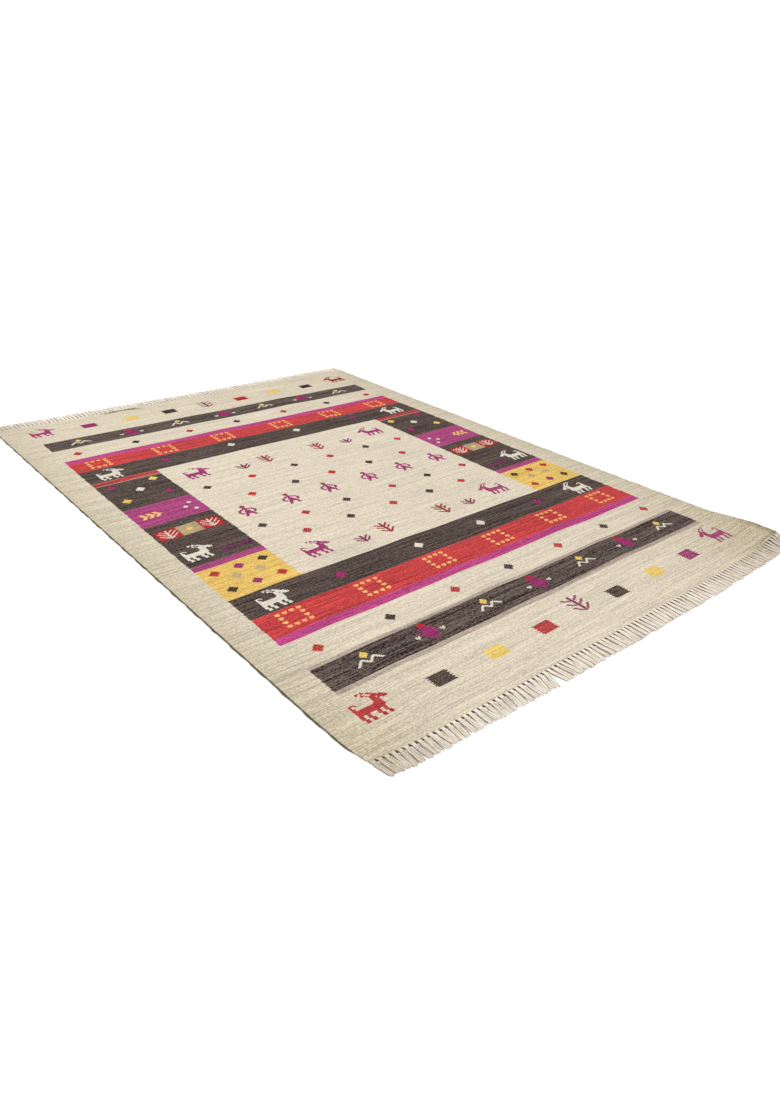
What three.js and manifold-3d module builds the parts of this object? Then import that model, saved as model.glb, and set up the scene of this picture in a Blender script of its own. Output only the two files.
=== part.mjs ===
// A flat-woven dhurrie rug with a knotted fringe at both ends, lying on a floor.
// Millimetres, +Z up. X runs across the rug, along the weft; Y runs along its length, along the warp.
// The origin is on the floor, under the middle of the rug.
import * as THREE from 'three';
import { mergeVertices } from 'three/addons/utils/BufferGeometryUtils.js';
import Module from 'manifold-3d';

const wasm = await Module();
wasm.setup();

// Driving dimensions of the cloth
const CLOTH_WIDTH = 1704;
const CLOTH_LENGTH = 2410;
const CLOTH_THICKNESS = 4;
const RIGHT_SELVEDGE_PINCH = 7;
const NEAR_LEFT_CORNER_DRAW = 16;
const CORNER_ROUND = 7;
const HALF_WIDTH = CLOTH_WIDTH / 2;
const HALF_LENGTH = CLOTH_LENGTH / 2;

// Grid that the cloth is drawn on, finer towards its edges
const COLUMNS = 32;
const ROWS = 36;
const EDGE_SPACING = 0.6;

// The two ends: side of the middle, reach of the tassels past the cloth, and slow waves along X
const ENDS = {
  near: {
    side: -1,
    tasselReach: 55,
    waves: [
      { amplitude: 9.0, length: 2000, phase: 0.31 },
      { amplitude: 0.8, length: 370, phase: 2.1 },
    ],
  },
  far: {
    side: 1,
    tasselReach: 62,
    waves: [
      { amplitude: 1.6, length: 910, phase: 1.6 },
      { amplitude: 0.8, length: 370, phase: 3.1 },
    ],
  },
};

// Where the far end is drawn in over its ripple: middle and reach along X, and depth
const FAR_DENT = { x: -345, reach: 130, depth: 18 };

// Places where the cloth doesn't lie down: a mound over an ellipse, rise in the middle
const LIFTS = [
  { name: 'curled near right corner', x: 850, y: -1150, across: 120, along: 220, rise: 17 },
  { name: 'ripple in the far end', x: -345, y: 1190, across: 125, along: 95, rise: 8 },
  { name: 'swell inside the near end', x: 360, y: -1010, across: 330, along: 170, rise: 2.5 },
  { name: 'swell by the left selvedge', x: -690, y: -560, across: 210, along: 300, rise: 2 },
  { name: 'swell by the right selvedge', x: 700, y: 330, across: 230, along: 330, rise: 2.5 },
  { name: 'swell inside the far end', x: 330, y: 920, across: 330, along: 190, rise: 2.5 },
  { name: 'swell in the field', x: -180, y: 60, across: 340, along: 260, rise: 1.5 },
];

// The fringe: a narrow strip of knots, parted from the cloth, and one tassel for each bundle of warps
const PARTING = 0.3;
const STRIP_WIDTH = 6;
const STRIP_THICKNESS = 3.4;
const TASSEL_COUNT = 104;
const TASSEL_LENGTH_CHANGE = 3;
const TASSEL_GAP = 1.2;
const TIP_CHANGE = 1.6;
const ROOT_DEPTH = 4;
const ROOT_RAISE = 0.4;
const TOP_TO_BASE = 0.55;

// Section of a tassel along its length: half width at the floor, height, share of the root's lift left,
// and share of the lean taken up
const TASSEL_SECTIONS = [
  { along: 0.0, halfWidth: 3.6, height: 2.6, lift: 1.0, lean: 0.0 },
  { along: 0.3, halfWidth: 5.2, height: 3.4, lift: 0.4, lean: 0.22 },
  { along: 0.72, halfWidth: 5.8, height: 2.8, lift: 0.0, lean: 0.72 },
  { along: 1.0, halfWidth: 4.4, height: 1.8, lift: 0.0, lean: 1.0 },
];

// How the tassels lean sideways in clumps: waves of the lean along X
const LEAN_WAVES = [
  { amplitude: 3.2, length: 148, phase: 0.4 },
  { amplitude: 2.4, length: 67, phase: 1.9 },
  { amplitude: 2.0, length: 610, phase: 4.2 },
];

// Where the near tassels part to both sides: middle and reach along X, and push at the middle
const NEAR_PARTINGS = [
  { x: -322, reach: 90, push: 9 },
  { x: -860, reach: 150, push: 8 },
];

/** Sum of sine waves of x, shifted by one more phase. */
function waves(table, x, shift = 0) {
  return table.reduce(
    (sum, wave) => sum + wave.amplitude * Math.sin((2 * Math.PI * x) / wave.length + wave.phase + shift),
    0,
  );
}

/** Height of the cloth's underside over the floor: the sum of the mounds. */
function clothLift(x, y) {
  return LIFTS.reduce((sum, mound) => {
    const away = ((x - mound.x) / mound.across) ** 2 + ((y - mound.y) / mound.along) ** 2;
    return away < 1 ? sum + mound.rise * (1 - away) ** 2 : sum;
  }, 0);
}

/** Distance of a woven end from the middle of the rug at x, without its rounded corners and its dent. */
function endReach(end, x) {
  return HALF_LENGTH + waves(end.waves, x);
}

/** Y of a woven end at x. */
function endLine(end, x) {
  const corner = CORNER_ROUND * (Math.abs(x) / HALF_WIDTH) ** 12;
  const fromDent = (x - FAR_DENT.x) / FAR_DENT.reach;
  const dent = end === ENDS.far && Math.abs(fromDent) < 1 ? FAR_DENT.depth * (1 - fromDent ** 2) ** 2 : 0;
  return end.side * (endReach(end, x) - corner - dent);
}

/**
 * Point of the flat cloth for across and along, each from -1 to 1.
 * The right selvedge is drawn in mid-way and the left one at the near corner.
 */
function clothPoint(across, along) {
  const pinch = across > 0 ? across * RIGHT_SELVEDGE_PINCH * (1 - along ** 2) : 0;
  const draw = across < 0 && along < 0 ? NEAR_LEFT_CORNER_DRAW * across ** 8 * along ** 22 : 0;
  const x = across * HALF_WIDTH - pinch + draw;
  return [x, Math.abs(along) * endLine(along < 0 ? ENDS.near : ENDS.far, x)];
}

/** Evenly spread steps from -1 to 1, drawn closer together towards both ends. */
function gradedSteps(count) {
  return Array.from({ length: count + 1 }, (_, step) => {
    const even = (2 * step) / count - 1;
    return EDGE_SPACING * even + (1 - EDGE_SPACING) * Math.sin((Math.PI / 2) * even);
  });
}

/**
 * Closed slab over a grid. pointAt(column, row) gives the grid's [x, y, bottom, top];
 * a lower and an upper layer are joined by a wall round the rim.
 */
function slabGeometry(columns, rows, pointAt) {
  const positions = [];
  const indices = [];
  const layerSize = (columns + 1) * (rows + 1);
  const vertex = (layer, column, row) => layer * layerSize + row * (columns + 1) + column;
  const quad = (a, b, c, d) => indices.push(a, b, c, a, c, d);
  for (const layer of [0, 1]) {
    for (let row = 0; row <= rows; row += 1) {
      for (let column = 0; column <= columns; column += 1) {
        const [x, y, bottom, top] = pointAt(column, row);
        positions.push(x, y, layer === 0 ? bottom : top);
      }
    }
  }
  for (let row = 0; row < rows; row += 1) {
    for (let column = 0; column < columns; column += 1) {
      const corners = [[column, row], [column + 1, row], [column + 1, row + 1], [column, row + 1]];
      quad(...corners.map(([i, j]) => vertex(1, i, j)));
      quad(...corners.reverse().map(([i, j]) => vertex(0, i, j)));
    }
  }
  for (let column = 0; column < columns; column += 1) {
    quad(vertex(0, column, 0), vertex(0, column + 1, 0), vertex(1, column + 1, 0), vertex(1, column, 0));
    quad(
      vertex(0, column + 1, rows), vertex(0, column, rows),
      vertex(1, column, rows), vertex(1, column + 1, rows),
    );
  }
  for (let row = 0; row < rows; row += 1) {
    quad(vertex(0, 0, row + 1), vertex(0, 0, row), vertex(1, 0, row), vertex(1, 0, row + 1));
    quad(
      vertex(0, columns, row), vertex(0, columns, row + 1),
      vertex(1, columns, row + 1), vertex(1, columns, row),
    );
  }
  const geometry = new THREE.BufferGeometry();
  geometry.setAttribute('position', new THREE.Float32BufferAttribute(positions, 3));
  geometry.setIndex(indices);
  return geometry;
}

/** Closed tube of four-sided rings, each a list of [x, y, z], with a flat cap at either end. */
function tubeGeometry(rings) {
  const sides = rings[0].length;
  const indices = [];
  for (let ring = 0; ring < rings.length - 1; ring += 1) {
    for (let side = 0; side < sides; side += 1) {
      const here = ring * sides + side;
      const beside = ring * sides + ((side + 1) % sides);
      indices.push(here, beside, beside + sides, here, beside + sides, here + sides);
    }
  }
  const last = (rings.length - 1) * sides;
  indices.push(0, 2, 1, 0, 3, 2, last, last + 1, last + 2, last, last + 2, last + 3);
  const geometry = new THREE.BufferGeometry();
  geometry.setAttribute('position', new THREE.Float32BufferAttribute(rings.flat(2), 3));
  geometry.setIndex(indices);
  return geometry;
}

/** Turns a closed geometry into a solid that can be joined. */
function toSolid(geometry) {
  const merged = mergeVertices(geometry);
  return new wasm.Manifold(new wasm.Mesh({
    numProp: 3,
    vertProperties: merged.attributes.position.array,
    triVerts: new Uint32Array(merged.index.array),
  }));
}

/** Turns a joined solid back into a geometry. */
function toGeometry(solid) {
  const mesh = solid.getMesh();
  const geometry = new THREE.BufferGeometry();
  geometry.setAttribute('position', new THREE.Float32BufferAttribute(mesh.vertProperties, 3));
  geometry.setIndex(Array.from(mesh.triVerts));
  return geometry;
}

/** Named mesh with its own material. */
function namedMesh(name, geometry, color, roughness) {
  const material = new THREE.MeshStandardMaterial({ color, roughness, metalness: 0, flatShading: true });
  const mesh = new THREE.Mesh(geometry, material);
  mesh.name = name;
  return mesh;
}

/** The woven cloth: one slab on the graded grid, over its mounds. */
function clothGeometry() {
  const acrossSteps = gradedSteps(COLUMNS);
  const alongSteps = gradedSteps(ROWS);
  return slabGeometry(COLUMNS, ROWS, (column, row) => {
    const [x, y] = clothPoint(acrossSteps[column], alongSteps[row]);
    const bottom = clothLift(x, y);
    return [x, y, bottom, bottom + CLOTH_THICKNESS];
  });
}

/** The strip of knots along one end, on the same columns as the cloth, so the parting is even. */
function stripGeometry(end) {
  const acrossSteps = gradedSteps(COLUMNS);
  return slabGeometry(COLUMNS, 1, (column, row) => {
    const [x, y] = clothPoint(acrossSteps[column], end.side);
    const outwards = PARTING + (row === (end.side < 0 ? 0 : 1) ? STRIP_WIDTH : 0);
    const bottom = clothLift(x, y);
    return [x, y + end.side * outwards, bottom, bottom + STRIP_THICKNESS];
  });
}

/** Repeatable unevenness from -1 to 1 for a tassel's number and end. */
function uneven(index, side) {
  return Math.sin(index * 12.9898 + side * 4.1414) * Math.cos(index * 7.233 + side);
}

/** How far a tassel's tip is pushed aside by the partings near its root. */
function partingPush(rootX) {
  return NEAR_PARTINGS.reduce((sum, parting) => {
    const away = (rootX - parting.x) / parting.reach;
    return Math.abs(away) < 1 ? sum + Math.sign(away) * parting.push * (1 - Math.abs(away)) : sum;
  }, 0);
}

/** Rings of one tassel, from inside the strip to its tip on the floor. */
function tasselRings(end, rootX, lean, lengthChange) {
  const clothEnd = endLine(end, rootX);
  const rootY = clothEnd + end.side * (PARTING + STRIP_WIDTH - ROOT_DEPTH);
  const tipY = end.side * (endReach(end, rootX) + end.tasselReach + lengthChange);
  const lift = clothLift(rootX, clothEnd) + ROOT_RAISE;
  return TASSEL_SECTIONS.map((section) => {
    const x = rootX + lean * section.lean;
    const y = rootY + (tipY - rootY) * section.along;
    const floor = lift * section.lift;
    const base = section.halfWidth;
    const top = section.halfWidth * TOP_TO_BASE;
    const ring = [[x - base, y, floor], [x + base, y, floor]];
    ring.push([x + top, y, floor + section.height], [x - top, y, floor + section.height]);
    return end.side < 0 ? ring : ring.map(([px, py, pz]) => [2 * x - px, py, pz]);
  });
}

/** One fringe: the strip with all its tassels, joined at their roots. */
function fringeGeometry(end) {
  const widest = Math.max(...TASSEL_SECTIONS.map((section) => section.halfWidth));
  const tipSection = TASSEL_SECTIONS[TASSEL_SECTIONS.length - 1];
  const margin = tipSection.halfWidth + widest;
  const first = clothPoint(-1, end.side)[0] + margin;
  const last = clothPoint(1, end.side)[0] - margin;
  const pitch = (last - first) / (TASSEL_COUNT - 1);
  const leastTipPitch = (2 * widest + TASSEL_GAP - pitch * (1 - TASSEL_SECTIONS[2].lean))
    / TASSEL_SECTIONS[2].lean;
  const strip = toSolid(stripGeometry(end));
  const tassels = [];
  let lastTip = -Infinity;
  for (let index = 0; index < TASSEL_COUNT; index += 1) {
    const rootX = first + index * pitch;
    const push = end === ENDS.near ? partingPush(rootX) : 0;
    const wished = rootX + push + waves(LEAN_WAVES, rootX, end.side) + TIP_CHANGE * uneven(index, end.side);
    const roomLeft = last - (TASSEL_COUNT - 1 - index) * leastTipPitch;
    const tipX = Math.min(Math.max(wished, lastTip + leastTipPitch, first), roomLeft);
    lastTip = tipX;
    const lengthChange = TASSEL_LENGTH_CHANGE * uneven(index + 0.5, end.side);
    tassels.push(toSolid(tubeGeometry(tasselRings(end, rootX, tipX - rootX, lengthChange))));
  }
  return toGeometry(wasm.Manifold.union([strip, ...tassels]));
}

const rug = new THREE.Group();
rug.add(namedMesh('rug', clothGeometry(), 0xd8ceb3, 0.95));
rug.add(namedMesh('fringe_near', fringeGeometry(ENDS.near), 0xe4dac8, 0.95));
rug.add(namedMesh('fringe_far', fringeGeometry(ENDS.far), 0xe4dac8, 0.95));

export default rug;
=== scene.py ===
import math

import bpy
import numpy as np
from mathutils import Matrix, Vector


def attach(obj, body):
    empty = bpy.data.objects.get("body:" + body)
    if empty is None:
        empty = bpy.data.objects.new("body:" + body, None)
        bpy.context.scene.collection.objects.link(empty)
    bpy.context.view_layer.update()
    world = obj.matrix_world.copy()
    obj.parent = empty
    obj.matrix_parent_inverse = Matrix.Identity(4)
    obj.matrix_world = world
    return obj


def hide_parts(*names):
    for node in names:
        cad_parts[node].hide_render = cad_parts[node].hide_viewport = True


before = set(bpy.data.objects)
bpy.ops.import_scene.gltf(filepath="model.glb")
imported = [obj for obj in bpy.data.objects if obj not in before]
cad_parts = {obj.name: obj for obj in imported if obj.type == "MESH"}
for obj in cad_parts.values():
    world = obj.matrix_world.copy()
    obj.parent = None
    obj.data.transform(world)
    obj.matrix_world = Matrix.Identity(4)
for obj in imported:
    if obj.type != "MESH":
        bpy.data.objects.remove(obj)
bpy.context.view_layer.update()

# The camera
# It stands off the near left corner, about 1.1 m over the floor, and looks down along the rug
# with a wide lens. It leans a little to one side, and its frame is shifted a little off its axis.
camera_place = (-1.5676, -2.0883, 1.1202)
camera_heading = math.radians(42.84)
camera_dip = math.radians(28.51)
camera_lean = math.radians(2.62)
photo_width = 780
photo_height = 1108
lens_centre_x = 420

camera_data = bpy.data.cameras.new("camera")
camera_data.sensor_width = 36.0
camera_data.lens = 25.1
camera_data.shift_x = (photo_width / 2 - lens_centre_x) / photo_height
camera = bpy.data.objects.new("camera", camera_data)
camera.matrix_world = (
    Matrix.Translation(camera_place)
    @ Matrix.Rotation(-camera_heading, 4, "Z")
    @ Matrix.Rotation(math.pi / 2 - camera_dip, 4, "X")
    @ Matrix.Rotation(camera_lean, 4, "Z")
)
bpy.context.collection.objects.link(camera)
bpy.context.scene.camera = camera

# The floor and the studio light
# A plain white floor without an edge in view, under an even white sky and one broad lamp
# that hangs far off over the left side and gives the cloth its soft shading.
sky_strength = 1.1
lamp_share = 0.25
lamp_place = Vector((-3.6, 2.0, 4.6))
lamp_size = 2.6
floor_reach = 30.0
floor_depth = -0.0004
floor_mesh = bpy.data.meshes.new("floor")
floor_mesh.from_pydata(
    [
        (-floor_reach, -floor_reach, floor_depth),
        (floor_reach, -floor_reach, floor_depth),
        (floor_reach, floor_reach, floor_depth),
        (-floor_reach, floor_reach, floor_depth),
    ],
    [],
    [(0, 1, 2, 3)],
)
floor = bpy.data.objects.new("floor", floor_mesh)
bpy.context.collection.objects.link(floor)
floor_material = bpy.data.materials.new("white floor")
floor_material.use_nodes = True
floor_shader = floor_material.node_tree.nodes["Principled BSDF"]
floor_shader.inputs["Base Color"].default_value = (0.93, 0.93, 0.93, 1.0)
floor_shader.inputs["Roughness"].default_value = 0.9
floor_shader.inputs["Specular IOR Level"].default_value = 0.1
floor_mesh.materials.append(floor_material)

world = bpy.data.worlds.new("studio")
world.use_nodes = True
sky = world.node_tree.nodes["Background"]
sky.inputs["Color"].default_value = (1.0, 1.0, 1.0, 1.0)
sky.inputs["Strength"].default_value = sky_strength
bpy.context.scene.world = world
bpy.context.scene.view_settings.view_transform = "Standard"

# The lamp's power gives its share of light in the middle of the rug, at that distance and slant
lamp_data = bpy.data.lights.new("broad lamp", "AREA")
lamp_data.shape = "SQUARE"
lamp_data.size = lamp_size
lamp_data.energy = lamp_share * math.pi ** 2 * lamp_place.length ** 3 / lamp_place.z
lamp = bpy.data.objects.new("broad lamp", lamp_data)
lamp_turn = (-lamp_place).to_track_quat("-Z", "Y")
lamp.matrix_world = Matrix.Translation(lamp_place) @ lamp_turn.to_matrix().to_4x4()
bpy.context.collection.objects.link(lamp)

# The woven cloth
# One weft-faced flat weave: thick wool picks beaten down over cotton warps until only the wool shows.
# Its bands and blocks are woven in, so they are colours of the cloth. It lies on the floor but for
# low swells, a ripple in the far end and a curled near right corner.
cloth_width = 1.704
cloth_length = 2.410
cloth_thickness = 0.004
half_width = cloth_width / 2
half_length = cloth_length / 2
right_selvedge_pinch = 0.007
far_left_end_gain = 0.010
edge_round = 0.003
edge_round_steps = np.array([0.0, 0.12, 0.45, 1.0, 2.6])
grid_across = 0.022
grid_along = 0.0056
pick_height = 0.00225
warp_spacing = 0.0045

# How far the corners are drawn in, and the powers of x and y that confine it to them
corner_round = 0.007
corner_round_power = 12
near_left_end_draw = 0.024
near_left_end_power = 6
near_left_corner_draw = 0.016
near_left_power_across = 8
near_left_power_along = 22

# Slow waves of the near end (-1) and the far end (1): height, length along X and phase
end_waves = {
    -1: ((0.0090, 2.000, 0.31), (0.0008, 0.370, 2.1)),
    1: ((0.0016, 0.910, 1.6), (0.0008, 0.370, 3.1)),
}

# Where the far end is drawn in over its ripple
dent_x = -0.345
dent_reach = 0.130
dent_depth = 0.026

# Small waves of both selvedges: height, length along Y and phase; how far the right ones are shifted; and
# the power of x that confines them to the selvedges
selvedge_waves = ((0.0010, 0.110, 0.3), (0.0006, 0.047, 1.1))
right_selvedge_shift = 1.9
selvedge_wave_power = 14

# Mounds of the cloth: middle x and y, reach across and along, rise
cloth_mounds = (
    (0.850, -1.150, 0.120, 0.220, 0.0170),
    (-0.345, 1.190, 0.125, 0.095, 0.0080),
    (0.360, -1.010, 0.330, 0.170, 0.0025),
    (-0.690, -0.560, 0.210, 0.300, 0.0020),
    (0.700, 0.330, 0.230, 0.330, 0.0025),
    (0.330, 0.920, 0.330, 0.190, 0.0025),
    (-0.180, 0.060, 0.340, 0.260, 0.0015),
)

# Cockles, the small ridges that uneven beating leaves along the weft: height, length along Y,
# sideways drift and the length of that drift along X
cloth_cockles = (
    (0.00030, 0.0310, 1.7, 0.83),
    (0.00028, 0.0470, 2.3, 0.57),
    (0.00034, 0.0890, 1.2, 1.31),
)

# The weave isn't quite square. The wefts drop to the right, the more so towards both ends, and swing a
# little: skew in the middle, growth of the skew with the squared level, and waves along X.
# The sides of the blocks lean by their own share of Y.
weft_skew = 0.0085
weft_skew_growth = 0.0105
weft_waves = ((0.0013, 0.410, 0.4), (0.0008, 0.230, 2.0))
block_lean = 0.0065


def sum_of_waves(table, x, shift=0.0):
    """Sum of sines: each row's height times the sine of x over its length, plus its phase and a shift."""
    heights, lengths, phases = np.array(table).T
    return (heights * np.sin(2 * np.pi * x[..., None] / lengths + phases + shift)).sum(axis=-1)


def cloth_lift(x, y):
    """Height of the underside: for each mound, rise times the square of one minus the squared distance."""
    lift = np.zeros(np.broadcast(x, y).shape)
    for middle_x, middle_y, across, along, rise in cloth_mounds:
        away = ((x - middle_x) / across) ** 2 + ((y - middle_y) / along) ** 2
        lift = lift + rise * np.clip(1 - away, 0, 1) ** 2
    return lift


def end_reach(side, x):
    """Distance of an end from the middle of the rug: half the length plus the slow waves, less the draw of
    the near left corner, a high power of x, and plus the far end's even gain to the left."""
    to_left = np.clip(-x / half_width, 0, 1)
    draw = near_left_end_draw * to_left ** near_left_end_power
    change = -draw if side < 0 else far_left_end_gain * to_left
    return half_length + sum_of_waves(end_waves[side], x) + change


def end_line(side, x):
    """Y of a woven end: its reach, less a high power of x at the corners, and less the far end's dent."""
    corner = corner_round * (np.abs(x) / half_width) ** corner_round_power
    from_dent = np.clip(np.abs(x - dent_x) / dent_reach, 0, 1)
    dent = dent_depth * (1 - from_dent ** 2) ** 2 * (side > 0)
    return side * (end_reach(side, x) - corner - dent)


def weft_drop(x, level):
    """How far a weft lies below its level: x times the skew, which grows with the squared level, plus
    waves along X."""
    return x * (weft_skew + weft_skew_growth * level ** 2) + sum_of_waves(weft_waves, x)


def cloth_surface(x, y):
    """Height of the upper side: the lift plus the thickness plus the cockles, sines of y that drift with
    x."""
    height = cloth_lift(x, y) + cloth_thickness
    for rise, length, drift, drift_length in cloth_cockles:
        phase = drift * np.sin(2 * np.pi * x / drift_length)
        height = height + rise * np.sin(2 * np.pi * y / length + phase)
    return height


def edge_steps(half_size, spacing):
    """Even steps from minus to plus half the size, with extra steps where the edge is rounded."""
    rounding = edge_round * edge_round_steps
    inner = half_size - rounding[-1] - spacing
    middle = np.linspace(-inner, inner, int(round(2 * inner / spacing)) + 1)
    return np.concatenate((rounding - half_size, middle, half_size - rounding[::-1]))


def add_mesh(name, points, faces):
    """Smooth mesh object from an array of points and a list of arrays of faces, one for each corner count."""
    mesh = bpy.data.meshes.new(name)
    mesh.from_pydata(points.reshape(-1, 3).tolist(), [], [face for group in faces for face in group.tolist()])
    mesh.shade_smooth()
    made = bpy.data.objects.new(name, mesh)
    bpy.context.collection.objects.link(made)
    return made


def grid_faces(index):
    """Four-cornered faces between the neighbours of a two-way array of point numbers."""
    corners = (index[:-1, :-1], index[:-1, 1:], index[1:, 1:], index[1:, :-1])
    return np.stack(corners, axis=-1).reshape(-1, 4)


def cloth_mesh():
    """Two layers over one grid, which close on each other at the rim along a quarter round. The right
    selvedge is drawn in mid-way by a parabola, and the left one at the near corner by high powers."""
    across = edge_steps(half_width, grid_across)[None, :]
    along = edge_steps(half_length, grid_along)[:, None]
    side_share = across / half_width
    end_share = along / half_length
    pinch = np.clip(side_share, 0, 1) * right_selvedge_pinch * (1 - end_share ** 2)
    draw = near_left_corner_draw * np.clip(-side_share, 0, 1) ** near_left_power_across
    draw = draw * np.clip(-end_share, 0, 1) ** near_left_power_along
    left_waves = sum_of_waves(selvedge_waves, along)
    right_waves = sum_of_waves(selvedge_waves, along, right_selvedge_shift)
    wobble = np.where(across < 0, left_waves, right_waves) * np.abs(side_share) ** selvedge_wave_power
    x = across - pinch + draw + wobble
    y = np.abs(end_share) * np.where(along < 0, end_line(-1, x), end_line(1, x))
    to_edge = np.minimum(half_width - np.abs(across), half_length - np.abs(along))
    open_share = np.sqrt(1 - (1 - np.clip(to_edge / edge_round, 0, 1)) ** 2)
    underside = cloth_lift(x, y)
    upside = cloth_surface(x, y)
    middle = (underside + upside) / 2
    top = middle + (upside - middle) * open_share
    bottom = middle - (middle - underside) * open_share
    points = np.stack((np.stack((x, y, top), -1), np.stack((x, y, bottom), -1)))
    top_index = np.arange(x.size).reshape(x.shape)
    bottom_index = top_index + x.size
    bottom_index[[0, -1], :] = top_index[[0, -1], :]
    bottom_index[:, [0, -1]] = top_index[:, [0, -1]]
    faces = np.concatenate((grid_faces(top_index), grid_faces(bottom_index)[:, ::-1]))
    used, numbers = np.unique(faces, return_inverse=True)
    return points.reshape(-1, 3)[used], [numbers.reshape(faces.shape)]


class Dye:
    """One value or colour of a material. Arithmetic on it adds the Math nodes that work it out."""

    def __init__(self, tree, socket):
        self.tree = tree
        self.socket = socket

    def node(self, kind, settings, inputs, output=0):
        """Adds a node: its settings come first, then the value or link of each socket."""
        made = self.tree.nodes.new(kind)
        for setting, value in settings.items():
            setattr(made, setting, value)
        for name, value in inputs.items():
            if isinstance(value, Dye):
                self.tree.links.new(value.socket, made.inputs[name])
            else:
                made.inputs[name].default_value = value
        return Dye(self.tree, made.outputs[output])

    def math(self, operation, *others):
        return self.node("ShaderNodeMath", {"operation": operation}, dict(enumerate((self, *others))))

    def __add__(self, other):
        return self.math("ADD", other)

    def __radd__(self, other):
        return self.math("ADD", other)

    def __sub__(self, other):
        return self.math("SUBTRACT", other)

    def __rsub__(self, other):
        return self.node("ShaderNodeMath", {"operation": "SUBTRACT"}, {0: other, 1: self})

    def __mul__(self, other):
        return self.math("MULTIPLY", other)

    def __rmul__(self, other):
        return self.math("MULTIPLY", other)

    def after(self, edge, softness):
        """0 below an edge and 1 above it, with a straight ramp as wide as the softness between them."""
        settings = {"operation": "MULTIPLY_ADD", "use_clamp": True}
        return self.node("ShaderNodeMath", settings, {0: self, 1: 1 / softness, 2: 0.5 - edge / softness})

    def between(self, low, high, softness):
        """1 from low to high and 0 outside them."""
        return self.after(low, softness) - self.after(high, softness)

    def blend(self, first, second):
        """Colour mixed from the first to the second as this value goes from 0 to 1."""
        return self.node("ShaderNodeMix", {"data_type": "RGBA"}, {0: self, 6: first, 7: second}, 2)

    def darken(self, colour, shade):
        """Colour multiplied by a shade, as far as this value says."""
        settings = {"data_type": "RGBA", "blend_type": "MULTIPLY"}
        return self.node("ShaderNodeMix", settings, {0: self, 6: colour, 7: shade}, 2)

    def noise(self, other, scale, detail=2.0, seed=0.0):
        """Noise over this value and another, each times its own scale; the seed picks another slice."""
        place = {"X": self * scale[0], "Y": other * scale[1], "Z": seed}
        where = self.node("ShaderNodeCombineXYZ", {}, place)
        return self.node("ShaderNodeTexNoise", {}, {"Vector": where, "Scale": 1.0, "Detail": detail})


def shown(red, green, blue):
    """Colour of a thing as it looks on a screen, 0 to 255, when the studio light falls on it: it is turned
    linear and divided by the light."""
    light = sky_strength + lamp_share
    parts = (((part / 255 + 0.055) / 1.055) ** 2.4 / light for part in (red, green, blue))
    return (*parts, 1.0)


def yarns(red, green, blue, contrast):
    """Deeper and paler yarn of one dye: its usual look, without what the painted shade of the weave's relief
    takes away, times one less and one plus the contrast."""
    usual = shown(red, green, blue)[:3]
    changes = (1 - contrast, 1 + contrast)
    return [(*(part * change / weave_share for part in usual), 1.0) for change in changes]


def new_material(name, roughness):
    """Material with its main shader, x, and the level along Y: y plus the drop of the weft there."""
    material = bpy.data.materials.new(name)
    material.use_nodes = True
    tree = material.node_tree
    shader = tree.nodes["Principled BSDF"]
    shader.inputs["Roughness"].default_value = roughness
    shader.inputs["Specular IOR Level"].default_value = 0.08
    coordinates = Dye(tree, tree.nodes.new("ShaderNodeTexCoord").outputs["Object"])
    x = coordinates.node("ShaderNodeSeparateXYZ", {}, {0: coordinates})
    y = Dye(tree, x.socket.node.outputs["Y"])
    drop = x * (weft_skew + weft_skew_growth * (y * y))
    for height, length, phase in weft_waves:
        drop = drop + height * (x * (2 * math.pi / length) + phase).math("SINE")
    return material, shader, x, y + drop


def weave_height(x, y):
    """Relief of the weave from 0 to 1: a half sine over each pick, higher where it rides over a warp,
    and moved by half a warp from one pick to the next."""
    pick = y * (1 / pick_height)
    row = pick.math("FLOOR")
    bead = ((x * (1 / warp_spacing) + row * 0.5) * math.pi).math("SINE").math("ABSOLUTE")
    rib = ((pick - row) * math.pi).math("SINE")
    return rib * (0.5 + 0.5 * bead)


# Noises in the tone of the wool: weight, scales across and along, detail, and slice past the seed's.
# They are long streaks one or two picks high, slower bands, small blotches and short flecks.
tone_noises = (
    (2.3, (4.5, 230.0), 2.0, 0),
    (0.8, (1.3, 70.0), 3.0, 4),
    (1.2, (40.0, 150.0), 2.0, 8),
    (2.5, (140.0, 290.0), 1.0, 12),
)
tone_drop = 2.9


def yarn_tone(x, y, seed):
    """Share of the paler yarn: the weighted sum of the noises less the drop, kept from 0 to 1."""
    tones = [weight * x.noise(y, scale, detail, seed + cut) for weight, scale, detail, cut in tone_noises]
    return (sum(tones[1:], tones[0]) - tone_drop).after(0.5, 1.0)


def finish_wool(shader, x, y, colour):
    """Feeds the shader with the wool's colour, with painted shade between the picks, and with the relief of
    the weave.
    """
    relief = weave_height(x, y)
    # Painted shade: the wool's colour is darkened where the relief is low, between the picks
    painted_shade_between_picks = relief.after(0.30, 1.0).blend((0.40, 0.37, 0.35, 1.0), (1.0, 1.0, 1.0, 1.0))
    shade = (relief * 0 + 0.40).darken(colour, painted_shade_between_picks)
    loose = x.noise(y, (260.0, 700.0), 2.0, 3.0)
    height = relief + 0.8 * loose
    bump = x.node("ShaderNodeBump", {}, {"Strength": 0.55, "Distance": 0.0007, "Height": height})
    x.tree.links.new(shade.socket, shader.inputs["Base Color"])
    x.tree.links.new(bump.socket, shader.inputs["Normal"])
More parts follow.
